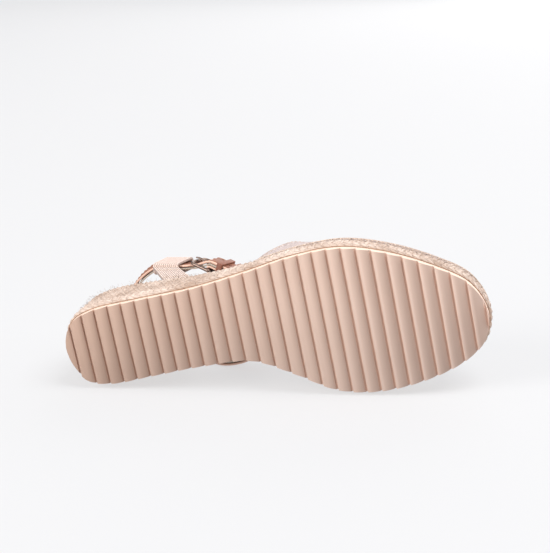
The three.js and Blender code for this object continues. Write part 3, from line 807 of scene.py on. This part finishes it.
def canvas_finish(name, light, dark, thread, depth, rough_patch):
    """Plain weave: each thread passes over one and under the next, with slubs along the threads."""
    finish = Finish(name, Specular_IOR_Level=0.15, Sheen_Weight=0.35, Sheen_Roughness=0.5)
    u, v = finish.cloth_axes()
    x, y = u * (math.pi / thread), v * (math.pi / thread)
    warp = finish.function("ABSOLUTE", finish.function("SINE", x))
    weft = finish.function("ABSOLUTE", finish.function("SINE", y))
    over = finish.function("SINE", finish.function("FLOOR", u / thread) * math.pi
                           + finish.function("FLOOR", v / thread) * math.pi + math.pi / 2)
    top = finish.function("MAXIMUM", over, 0.0)
    cloth = warp * (top * 0.65 + 0.35) + weft * ((1 - top) * 0.65 + 0.35)
    along_warp = finish.node("ShaderNodeCombineXYZ", sockets={0: u * 1400.0, 1: v * 120.0})
    along_weft = finish.node("ShaderNodeCombineXYZ", sockets={0: u * 120.0, 1: v * 1400.0})
    slub = finish.noise(along_warp, 1.0, 3.0) * top + finish.noise(along_weft, 1.0, 3.0) * (1 - top)
    patch = finish.noise(finish.place(), rough_patch, 3.0)
    tone = finish.colours(slub * 0.7 + patch * 0.3, (0.34, dark), (0.6, light))
    # Painted shade: the gaps between the threads are coloured darker.
    deep = tuple(0.55 * c for c in dark[:3]) + (1.0,)
    finish.feed(
        Base_Color=finish.mix(finish.function("MINIMUM", cloth * 1.1, 1.0), deep, tone),
        Roughness=0.82 + slub * 0.12,
        Normal=finish.bump(cloth + slub * 0.35, depth, 0.9),
    )
    return finish.material


canvas = canvas_finish(
    "vamp_canvas", shade(228, 208, 202), shade(200, 178, 172),
    thread=0.00115, depth=0.0006, rough_patch=40.0,
)
cotton = canvas_finish(
    "cotton_lining", shade(240, 228, 212), shade(220, 204, 186),
    thread=0.0005, depth=0.0002, rough_patch=50.0,
)


def vamp_sheet(name, depth, thickness, material, slot, node, columns=110, steps=84):
    angles = np.linspace(0, math.pi, columns + 1)
    outer, inner = vamp_skin(depth, angles, steps), vamp_skin(depth + thickness, angles, steps)
    uv = cloth_uv(outer)
    rim = [between(outer[k], inner[k], uv[k]) for k in (0, -1)]
    rim += [between(outer[:, k], inner[:, k], uv[:, k]) for k in (0, -1)]
    piece = piece_from(name, [surface(outer, uv), surface(inner, uv)] + rim)
    weld(piece, 0.000004)
    complete(piece, material, slot, "shoe", node, crease=50)
    return piece, sheet_area(outer)


vamp, vamp_area = vamp_sheet("vamp_canvas", 0, vamp_thickness, canvas, "vamp_canvas", "vamp_outer")
lining, lining_area = vamp_sheet(
    "vamp_cotton_lining", lining_depth, lining_thickness, cotton, "cotton_lining", "vamp_lining", 80, 60
)

# The puff is a stiffened cloth hidden between the two.
puff_finish = Finish("stiffened_cloth", Specular_IOR_Level=0.2, Roughness=0.9)
puff_noise = puff_finish.noise(puff_finish.place(), 900.0)
puff_finish.feed(Base_Color=puff_finish.mix(puff_noise, shade(206, 196, 178), shade(226, 216, 200)))
refinish("toe_puff", puff_finish.material)


pick_pitch = 0.0009


def tape_finish(name, light, dark, cord, depth):
    """Ribbed cotton tape: cords run along it, and picks cross them in short steps."""
    finish = Finish(name, Specular_IOR_Level=0.15, Sheen_Weight=0.3, Sheen_Roughness=0.5)
    u, v = finish.cloth_axes()
    ridge = finish.function("ABSOLUTE", finish.function("SINE", u * (math.pi / cord)))
    lean = finish.function("ABSOLUTE", finish.function("FRACT", u * (1 / cord)) - 0.5)
    wave = finish.function("SINE", (v + lean * cord * 0.9) * (math.pi / pick_pitch))
    pick_wave = finish.function("ABSOLUTE", wave)
    fibre = finish.noise(
        finish.node("ShaderNodeCombineXYZ", sockets={0: u * 1600.0, 1: v * 300.0}), 1.0, 3.0
    )
    # Painted shade: the valleys between the cords, and the dips between the picks, are coloured darker.
    tone = finish.colours(fibre * 0.6 + pick_wave * 0.4, (0.3, dark), (0.62, light))
    deep = tuple(0.42 * c for c in dark[:3]) + (1.0,)
    finish.feed(
        Base_Color=finish.mix(finish.function("POWER", ridge, 0.7), deep, tone),
        Roughness=0.82 + fibre * 0.12,
        Normal=finish.bump(ridge * 0.5 + pick_wave * 0.35 + fibre * 0.2, depth, 0.85),
    )
    return finish.material


def rounded(share):
    """Draws a circle's sine or cosine out towards a rounded square's."""
    return np.sign(share) * np.abs(share) ** 0.7


bound_tape = tape_finish(
    "binding_tape", shade(226, 205, 196), shade(196, 172, 162), cord=0.0011, depth=0.00035
)
binding_middle, binding_half, binding_cover, binding_girth = 1.05, 1.0, 0.18, 0.0121
binding_angles = np.linspace(0.0, math.pi, 171)
turns = np.linspace(0, 2 * math.pi, 21)[:-1]
back = seam + binding_middle + binding_half * rounded(np.cos(turns))
inwards = rim_depth / 2 + (rim_depth / 2 + binding_cover) * rounded(np.sin(turns))
binding_rows = np.stack(
    [vamp_point(binding_angles, throat_at(binding_angles) - b, float(d)) for b, d in zip(back, inwards)], 1
)
binding_run = run_along(binding_rows[:, 0])[:, None] * MM
binding_across = np.linspace(0, binding_girth, 21)[None]
binding_uv = np.stack(np.broadcast_arrays(binding_across, binding_run), -1)
binding = piece_from("vamp_binding_tape", [surface(binding_rows, binding_uv, False, True, True)])
complete(binding, bound_tape, "vamp_canvas", "shoe", "vamp_binding", crease=70)

# Stitches of the binding, and the blanket stitch that holds the vamp to the jute.
pale_thread = thread_finish("pale_thread", shade(244, 226, 208), shade(196, 168, 146))
seam_angles = np.linspace(0.1, math.pi - 0.1, 66)
seam_stations = throat_at(seam_angles) + 1.6
seam_points = vamp_point(seam_angles, seam_stations, 0)
seam_out = unit(vamp_point(seam_angles, seam_stations, -0.3) - seam_points)
seam_heading = headings(seam_points, False)
seam_stitches = stitch_run(seam_points, seam_heading, seam_out, length=1.9, thread=0.2)
foot_line, foot_out = outline(0.4, 108)
foot_heading = np.column_stack([-foot_out[:, 1], foot_out[:, 0]])
foot_s = along(foot_line[:, 0], foot_line[:, 1])
blanket = []
for p, o, h, s in zip(foot_line, foot_out, foot_heading, foot_s):
    if s < wing_start + 4:
        continue
    out, top = np.append(o, 0), wedge_top(s)
    rise = [(-1.6, 1.0), (-0.6, 0.9), (0.6, 0.5), (1.8, 0.42), (3.0, 0.36), (3.5, 0.0)]
    line = [np.append(p, top + up) + out * lift for up, lift in rise]
    blanket.append(tube(line, np.tile(out, (6, 1)), 0.34, 0.34, 6))
    reaches = np.linspace(-2.8, 2.8, 6)
    bar = [np.append(p + h * k, top + 3.1 - 0.25 * abs(k)) + out * 0.32 for k in reaches]
    blanket.append(tube(bar, np.tile(out, (6, 1)), 0.3, 0.3, 6))
vamp_stitches = piece_from("vamp_stitching", seam_stitches + blanket)
complete(vamp_stitches, pale_thread, "vamp_canvas", "shoe", crease=70)

# ---- Ankle strap ----
# Cognac leather 13 mm wide with pale cut edges, backed with cotton and stitched along both edges.
# It runs from its tail, through the buckle and the outer tab, behind the heel, through the inner
# tab, across the front of the ankle and back round the buckle's bar.
buckle_centre = Vector((-44.5, -19.2, 71.5))
buckle_turn = Matrix.Rotation(math.radians(20), 3, "Z") @ Matrix.Rotation(math.radians(24), 3, "Y")
strap_width, leather_thickness, backing_thickness, bond_gap = 13.0, 1.4, 1.0, 0.6
bar_radius, wire_radius, frame_length, tail_length, chape_length = 1.0, 1.1, 13.0, 23.0, 10.0
chape_turn, tail_level, under_rail = 2.0, -5.3, 2.4


def at_buckle(x, y, z=0.0):
    """A point given along the strap, inwards and across it, from the middle of the buckle's bar."""
    return np.array(buckle_centre + buckle_turn @ Vector((x, y, z)))


loops = {"lateral": np.array([-72.5, -20.2, 81.5]), "medial": np.array([-71, 24.5, 75])}
loop_heading = {"lateral": np.array([-0.93, 0.06, 0.37]), "medial": np.array([0.84, 0.32, -0.44])}
tab_width = 19.0


def through_loop(side):
    heading = loop_heading[side] / np.linalg.norm(loop_heading[side])
    return [loops[side] + heading * k * (tab_width + 3) for k in (-0.5, 0, 0.5)]


half_turn = [math.radians(a) for a in (90, 60, 30, 0, -30, -60, -90)]
round_bar = [at_buckle(-chape_turn * math.cos(a), -chape_turn * math.sin(a)) for a in half_turn]
strap_route = [
    at_buckle(tail_length, tail_level), at_buckle(tail_length / 2, tail_level), at_buckle(0.5, tail_level),
    at_buckle(-1.5, tail_level + 0.3), at_buckle(2 - frame_length, under_rail - 1),
    at_buckle(-frame_length - 0.5, under_rail), *through_loop("lateral"),
    (-92.5, -14, 88.5), (-100.5, -5.5, 91), (-102, 4, 91.5), (-95.5, 12.5, 88.5), *through_loop("medial"),
    (-53, 31, 62), (-41, 34.5, 51), (-25, 31.5, 45.5), (-11, 23, 44.5), (-2, 12, 46.8), (-2.5, 0.5, 50.3),
    (-10, -7.5, 54.8), at_buckle(tail_length + 3, -chape_turn), at_buckle(chape_length + 1, -chape_turn),
    at_buckle(3, -chape_turn), *round_bar,
    at_buckle(3, chape_turn), at_buckle(chape_length, chape_turn),
]
strap_samples, stretches_to_chape = 40, 24
strap_points = smooth_line(strap_route, False, strap_samples)
chape_entry = stretches_to_chape * strap_samples


def strap_directions(points):
    """Heading, up and inwards at each point: upright, and square to the bar near the buckle."""
    heading = headings(points, False)
    away = np.clip((np.linalg.norm(points - np.array(buckle_centre), axis=1) - 22) / 12, 0, 1)
    near = (1 - away * away * (3 - 2 * away))[:, None]
    up = (1 - near) * np.array([0, 0, 1.0]) + near * np.array(buckle_turn.col[2])
    up = unit(up - heading * np.sum(up * heading, 1)[:, None])
    return heading, up, np.cross(heading, up)


strap_heading, strap_up, strap_inwards = strap_directions(strap_points)
strap_run = run_along(strap_points)
longest_step, sharpest_turn = 1.3, 0.09
strap_keep = [0]
for k in range(1, len(strap_points)):
    turned = strap_heading[k] @ strap_heading[strap_keep[-1]] < math.cos(sharpest_turn)
    moved = strap_run[k] - strap_run[strap_keep[-1]] > longest_step
    if moved or turned or k == len(strap_points) - 1:
        strap_keep.append(k)
strap_keep = np.array(strap_keep)


def strap_band(name, keep, middle_depth, thickness):
    """A flat band along the strap with rounded edges; the tail's tip is cut round."""
    half, wide, r = thickness / 2, strap_width / 2, thickness * 0.36
    section = [(-half, -wide + r), (-half * 1.04, 0), (-half, wide - r), (-half + r * 0.3, wide - r * 0.3),
               (-half + r, wide), (half - r, wide), (half - r * 0.3, wide - r * 0.3), (half, wide - r),
               (half * 1.02, 0), (half, r - wide), (half - r * 0.3, r * 0.3 - wide), (half - r, -wide),
               (r - half, -wide), (r * 0.3 - half, r * 0.3 - wide)]
    from_tip = np.clip(strap_run[keep] / 5.5, 0, 1)
    narrow = 0.42 + 0.58 * np.sqrt(1 - (1 - from_tip) ** 2)
    rows = np.stack([
        strap_points[keep] + strap_inwards[keep] * (middle_depth + d)
        + strap_up[keep] * (w * narrow)[:, None] for d, w in section
    ], 1)
    side = np.array([w for _, w in section + section[:1]]) * MM
    uv = np.stack(np.broadcast_arrays(side[None, :], strap_run[keep][:, None] * MM), -1)
    return piece_from(name, [surface(rows, uv, False, True, True)])


def cut_slot(piece, x0, x1, y0, y1):
    """A slot cut through a piece at the buckle, for its prong."""
    bpy.ops.mesh.primitive_cube_add(size=1)
    cutter = bpy.context.object
    size = Matrix.Diagonal((x1 - x0, y1 - y0, slot_width, 1))
    local = Matrix.Translation(((x0 + x1) / 2, (y0 + y1) / 2, 0)) @ size
    world_place = Matrix.Translation(buckle_centre) @ buckle_turn.to_4x4() @ local
    cutter.data.transform(Matrix.Diagonal((MM, MM, MM, 1)) @ world_place)
    apply_modifier(piece, "BOOLEAN", operation="DIFFERENCE", object=cutter, solver="EXACT")
    bpy.data.objects.remove(cutter)


slot_width = 2.6
tail_slot = (1.7 - frame_length, -2.2, -7, 5)
chape_slot = (-3.0, 3.0, -3.0, 3.0)
cognac = leather_finish(
    "cognac_leather", shade(168, 108, 82), shade(120, 72, 54), edge=shade(240, 200, 178), half_width=6.5
)
strap = strap_band("strap_cognac_leather", strap_keep, 0.0, leather_thickness)
cut_slot(strap, *tail_slot)
cut_slot(strap, *chape_slot)
complete(strap, cognac, "strap_leather", "ankle_strap", "strap_leather", crease=50)

lined = strap_keep[strap_keep < chape_entry]
backing_depth = leather_thickness / 2 + bond_gap + backing_thickness / 2
backing = strap_band("strap_cotton_backing", lined, backing_depth, backing_thickness)
cut_slot(backing, *tail_slot)
complete(backing, cotton, "cotton_lining", "ankle_strap", "strap_lining", crease=50)

strap_thread = thread_finish("strap_thread", shade(206, 154, 118), shade(150, 98, 70))
strap_seam = []
stitch_pitch, seam_inset = 3.3, 1.7
for side in (-1, 1):
    for run in np.arange(8, strap_run[chape_entry] - 2, stitch_pitch):
        k = int(np.searchsorted(strap_run, run))
        out = -strap_inwards[k]
        aside = strap_up[k] * side * (strap_width / 2 - seam_inset)
        place = strap_points[k] + out * leather_thickness / 2 + aside
        strap_seam += stitch_run([place], [strap_heading[k]], [out], length=2.3, thread=0.2)
strap_stitches = piece_from("strap_stitching", strap_seam)
complete(strap_stitches, strap_thread, "strap_leather", "ankle_strap", crease=70)

# Punched holes along the tail are drawn as a dark disc ringed by a dark rim on the leather's face: painted
# shade where each hole's inside would be.
hole_finish = Finish("painted_hole_shade", Specular_IOR_Level=0.2, Roughness=0.9)
hole_grain = hole_finish.noise(hole_finish.place(), 1500.0)
hole_finish.feed(Base_Color=hole_finish.mix(hole_grain, shade(44, 24, 16), shade(70, 42, 30)))
painted_hole_shades = []
tail_face, hole_radius = tail_level - leather_thickness / 2, 0.95


def hole_points(x, radius, lift):
    """Sixteen points round a hole at x along the tail, lifted off the leather's face."""
    turns = np.linspace(0, 2 * math.pi, 17)[:-1]
    return [at_buckle(x + radius * math.cos(a), tail_face - lift, radius * math.sin(a)) for a in turns]


for x in (10.7, 19.0):
    ring = hole_points(x, hole_radius, 0.02)
    out = np.tile(at_buckle(0, -1) - at_buckle(0, 0), (16, 1))
    painted_hole_shades.append(tube(ring, out, 0.1, 0.22, 6, True))
    disc = np.array([hole_points(x, radius, 0.03) for radius in (0.9, 0.02)])
    painted_hole_shades.append(surface(disc, np.zeros((2, 17, 2)), False, True))
holes = piece_from("strap_holes", painted_hole_shades)
complete(holes, hole_finish.material, "strap_leather", "ankle_strap", crease=60, outward=False)

# ---- Webbing tabs ----
# A doubled length of ribbed cotton webbing on each side, sewn into the wedge's edge and looped
# over the strap. Its cords run up the tab, and a boxed seam closes the loop.
tab_inset, tab_at, webbing_thickness = 2.4, -58.5, 1.2
swing_room, loop_room = 1.5, 1.17
webbing = tape_finish(
    "ribbed_webbing", shade(250, 230, 218), shade(212, 180, 166), cord=0.0016, depth=0.0005
)
cord_pitch, cord_rise = 1.6, 0.36
tab_columns, cloth_fullness, loop_corner = 84, 0.92, 1.5
tab_share = np.linspace(-0.5, 0.5, tab_columns + 1)
cord_lift = cord_rise * (np.abs(np.sin(math.pi * tab_share * tab_width / cord_pitch)) - 0.5)


def rounded_loop(half_deep, half_high, corner, per_side):
    """A closed line round a rectangle with rounded corners, and its outward directions."""
    points = []
    for turn, (cx, cy) in enumerate(((1, -1), (1, 1), (-1, 1), (-1, -1))):
        for a in np.linspace(0, math.pi / 2, 7):
            angle = (turn - 1) * math.pi / 2 + a
            points.append((cx * (half_deep - corner) + corner * math.cos(angle),
                           cy * (half_high - corner) + corner * math.sin(angle)))
    line = evenly(np.array(points), per_side, True)
    heading = headings(line, True)
    return line, np.stack([heading[:, 1], -heading[:, 0]], 1)


def webbing_tab(name, side, edge, node):
    centre = loops[side]
    k = int(np.argmin(np.linalg.norm(strap_points - centre, axis=1)))
    heading, up, out = strap_heading[k], strap_up[k], -strap_inwards[k]
    middle = centre + out * -(seam + backing_thickness) / 2
    half_high = strap_width / 2 + swing_room + webbing_thickness / 2
    half_deep = (
        leather_thickness / 2 + seam / 2 + backing_thickness / 2 + loop_room + webbing_thickness / 2
    )
    line, normal = rounded_loop(half_deep, half_high, loop_corner, 64)
    shifts = heading[None, None] * (tab_share * tab_width)[None, :, None]
    flat = middle + line[:, :1] * out + line[:, 1:] * up
    away = normal[:, :1] * out + normal[:, 1:] * up
    lift = (webbing_thickness / 2 + cord_lift)[None, :, None]
    outer = flat[:, None] + shifts + away[:, None] * lift
    inner = flat[:, None] + shifts - away[:, None] * webbing_thickness / 2
    run = np.arange(65) / 64 * np.sum(np.linalg.norm(np.diff(line, axis=0), axis=1))
    uv = np.stack(np.broadcast_arrays(tab_share[None, :] * tab_width, run[:, None]), -1) * MM
    band = [surface(outer, uv, True), surface(inner, uv, True)]
    for j in (0, -1):
        side_uv = np.stack([uv[:, j], uv[:, j]], 1)
        band.append(surface(np.stack([outer[:, j], inner[:, j]], 1), side_uv, True))
    top = half_high + webbing_thickness / 2
    hem = centre - up * (top - 0.2)
    foot_s = np.array([tab_at - 0.5, tab_at, tab_at + 0.5])
    foot_t = list(sole_edges(tab_inset, foot_s))[edge]
    foot_line = on_plan(foot_s, foot_t, wedge_top(foot_s))
    lean = foot_line[2] - foot_line[0]
    lean /= np.linalg.norm(lean)
    if lean @ heading < 0:
        lean = -lean
    foot = foot_line[1]
    foot_points = foot + lean * (tab_share * tab_width)[:, None]
    stations = along(foot_points[:, 0], foot_points[:, 1])
    foot_points[:, 2] = wedge_top(stations) - 0.6
    hem_points = hem + heading * (tab_share * tab_width)[:, None]
    levels = np.linspace(0, 1, 15)[:, None, None]
    web = hem_points[None] * (1 - levels) + foot_points[None] * levels
    rise = hem - foot
    face = np.cross(rise / np.linalg.norm(rise), lean)
    face *= np.sign(face @ out)
    face_now = unit(out * (1 - levels) + face * levels)
    thick = (webbing_thickness * cloth_fullness + cord_lift)[None, :, None]
    front, rear = web + face_now * thick, web - face_now * thick
    drop = np.linalg.norm(rise)
    web_uv = np.stack(np.broadcast_arrays(tab_share[None, :] * tab_width, levels[:, :, 0] * drop), -1) * MM
    leaf = [surface(front, web_uv), surface(rear, web_uv)]
    for j in (0, -1):
        leaf.append(between(front[:, j], rear[:, j], web_uv[:, j]))
        leaf.append(between(front[j], rear[j], web_uv[j]))
    loop_piece = piece_from(name, band + leaf)
    weld(loop_piece, 0.000002)
    complete(loop_piece, webbing, "webbing", "shoe", node, crease=60)
    threads = []
    for level in (0.06, 0.3, 0.86):
        row = hem_points * (1 - level) + foot_points * level
        now = out * (1 - level) + face * level
        now /= np.linalg.norm(now)
        for sign in (1, -1):
            count = 8
            for m in range(count):
                j = int((m + 0.5) / count * tab_columns)
                p = row[j] + now * sign * (webbing_thickness + 0.05)
                across = row[-1] - row[0]
                heading_now = across / np.linalg.norm(across)
                threads += stitch_run([p], [heading_now], [now * sign], length=1.7, thread=0.2)
    sewn = piece_from(name + "_stitching", threads)
    complete(sewn, pale_thread, "webbing", "shoe", crease=70)


for side, edge in (("lateral", 0), ("medial", 1)):
    webbing_tab(f"tab_{side}_webbing", side, edge, f"tab_{side}")

# ---- Buckle ----
# A round-wire frame of dark plated steel, cast with its bar across the open ends of the arms, and
# a flat prong that turns on the bar and rests on the front rail.
def steel_finish(name, light, dark):
    finish = Finish(name, Metallic=1.0)
    where = finish.place()
    cloud = finish.noise(where, 300.0, 3.0)
    scratch = finish.noise(where, 2600.0, 2.0, 0.7)
    rubbed = finish.colours(cloud * 0.6 + scratch * 0.4, (0.42, dark), (0.62, light))
    finish.feed(
        Base_Color=rubbed,
        Roughness=0.24 + scratch * 0.22,
        Normal=finish.bump(scratch, 0.00005, 0.4),
    )
    return finish.material


steel = steel_finish("dark_plated_steel", shade(168, 146, 134), shade(104, 86, 78))
arm_line = strap_width / 2 + 0.6 + wire_radius
rail_corner = 3.2
frame_path = [(1.9, -arm_line), (-3, -arm_line), (-7, -arm_line)]
for turn in np.linspace(-90, -180, 9):
    a = math.radians(turn)
    frame_path.append((rail_corner - frame_length + rail_corner * math.cos(a),
                       rail_corner - arm_line + rail_corner * math.sin(a)))
frame_path += [(x, -z) for x, z in frame_path[::-1]]
frame_line = evenly(np.array([at_buckle(x, 0, z) for x, z in frame_path]), 90, False)
buckle_in = np.tile(at_buckle(0, 1) - at_buckle(0, 0), (90, 1))
tip_round = np.minimum(1, np.sqrt(np.clip((np.arange(90) + 0.4) / 3, 0, 1)))
tip_round = np.minimum(tip_round, tip_round[::-1])
frame_radius = wire_radius * tip_round
frame_piece = piece_from("buckle_frame_wire", [tube(frame_line, buckle_in, frame_radius, frame_radius, 18)])
complete(frame_piece, steel, "buckle_metal", "buckle", "buckle_frame", crease=60)

bar_line = np.array([at_buckle(0, 0, z) for z in np.linspace(-arm_line, arm_line, 9)])
bar_pin = tube(bar_line, np.tile(buckle_in[0], (9, 1)), bar_radius, bar_radius, 18)
bar_piece = piece_from("buckle_bar_pin", [bar_pin])
complete(bar_piece, steel, "buckle_metal", "buckle", "buckle_bar", crease=60)

eye_radius = bar_radius + seam + 0.5
eye_turns = np.linspace(0, 2 * math.pi, 33)[:-1]
eye_line = [at_buckle(eye_radius * math.cos(a), eye_radius * math.sin(a)) for a in eye_turns]
bar_way = np.tile(at_buckle(0, 0, 1) - at_buckle(0, 0), (32, 1))
eye = tube(eye_line, bar_way, 0.8, 0.48, 12, True)
prong_bends = [(-1.7, -0.4), (-5, -1.2), (-9, -2.0), (-12, -2.2), (-13.6, -1.95), (-14.7, -1.7)]
prong_path = smooth_line(prong_bends, False, 8)
prong_line = np.array([at_buckle(x, y) for x, y in prong_path])
taper = np.linspace(1, 0, len(prong_line)) ** 0.45
shank_side = np.tile(bar_way[0], (len(prong_line), 1))
shank = tube(prong_line, shank_side, 0.45 + 0.4 * taper, 0.35 + 0.35 * taper, 14)
prong_piece = piece_from("buckle_prong_wire", [eye, shank])
complete(prong_piece, steel, "buckle_metal", "prong", "buckle_prong", crease=60)

# ---- Keepers ----
# Two narrow loops of the strap's leather hold its tail down: one is sewn in, one slides. Each is
# a strip with burnished edges, butted and stitched at the back.
def keeper(node, name, body):
    piece = copy_of(node, name, 2.0)
    round_edges(piece, width=0.00045, segments=3, above=40)
    complete(piece, keeper_leather, "strap_leather", body, node, crease=40, outward=False)


keeper_leather = leather_finish("keeper_leather", shade(160, 100, 76), shade(112, 66, 50))
keeper("keeper_fixed", "keeper_fixed_loop", "ankle_strap")
keeper("keeper_sliding", "keeper_sliding_loop", "sliding_keeper")
